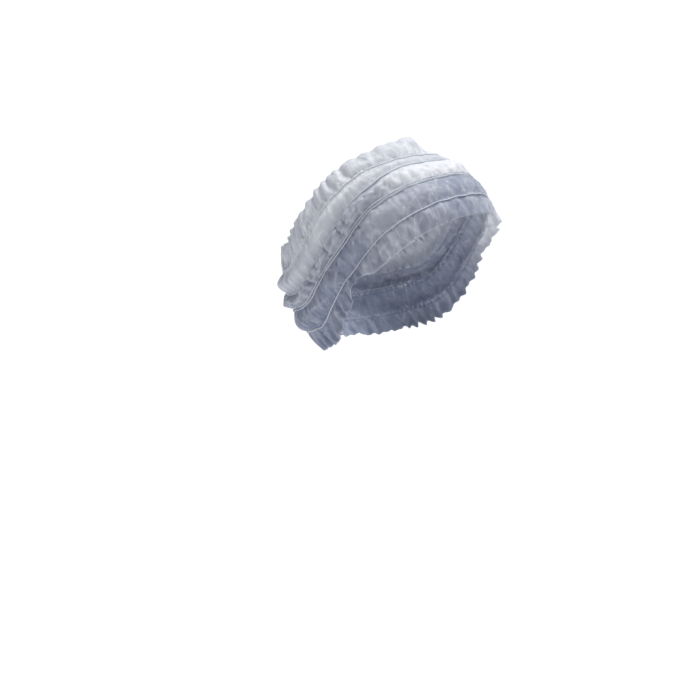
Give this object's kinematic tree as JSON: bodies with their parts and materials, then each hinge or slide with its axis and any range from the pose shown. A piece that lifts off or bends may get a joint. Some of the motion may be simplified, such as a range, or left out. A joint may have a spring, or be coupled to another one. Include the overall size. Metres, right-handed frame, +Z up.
{
  "type": "disposable headband",
  "caption": "Disposable headband of thin white nonwoven cloth, a wide gathered loop with ruffled edges drawn in by elastic threads to hold hair off the face.",
  "frame": {"origin": "middle of the hollow at the wearer's eye level, midway between the temples", "axes": "+Z up as worn, -Y towards the wearer's face, -X towards the wearer's right"},
  "size_m": [0.166, 0.187, 0.1801],
  "materials": {
    "nonwoven": "matt, slightly see-through spunbond",
    "elastic": "matt covered thread"
  },
  "bodies": {
    "root": {"band": "nonwoven", "front_elastic": "elastic", "middle_elastic": "elastic", "inner_back_elastic": "elastic", "back_elastic": "elastic"}
  },
  "joints": []
}
